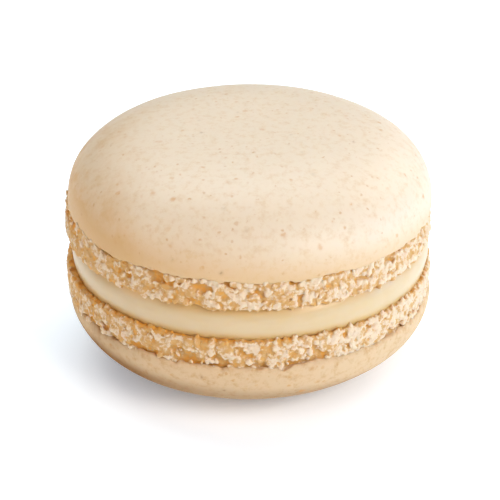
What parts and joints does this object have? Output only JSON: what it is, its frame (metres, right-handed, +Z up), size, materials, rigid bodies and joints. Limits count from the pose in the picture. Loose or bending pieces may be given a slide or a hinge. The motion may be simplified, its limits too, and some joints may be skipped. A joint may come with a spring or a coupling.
{
  "type": "macaron sandwich biscuit",
  "caption": "Round sandwich biscuit: two smooth domed almond meringue shells with ragged feet, held together by a thick disc of vanilla cream.",
  "frame": {"origin": "middle of the small flat spot that the macaron rests on, under the centre of the lower biscuit", "axes": "+Z up through the two biscuits and the cream; the outline is round, so X and Y are free"},
  "size_m": [0.0431, 0.0426, 0.028],
  "materials": {
    "biscuit": "pale almond meringue: a smooth satin crust with fine golden specks, and a matt, crumbly foot",
    "cream": "soft, pale yellow vanilla cream, smooth and faintly moist"
  },
  "bodies": {
    "root": {"bottom_biscuit": "biscuit", "cream_filling": "cream", "top_biscuit": "biscuit"}
  },
  "joints": []
}
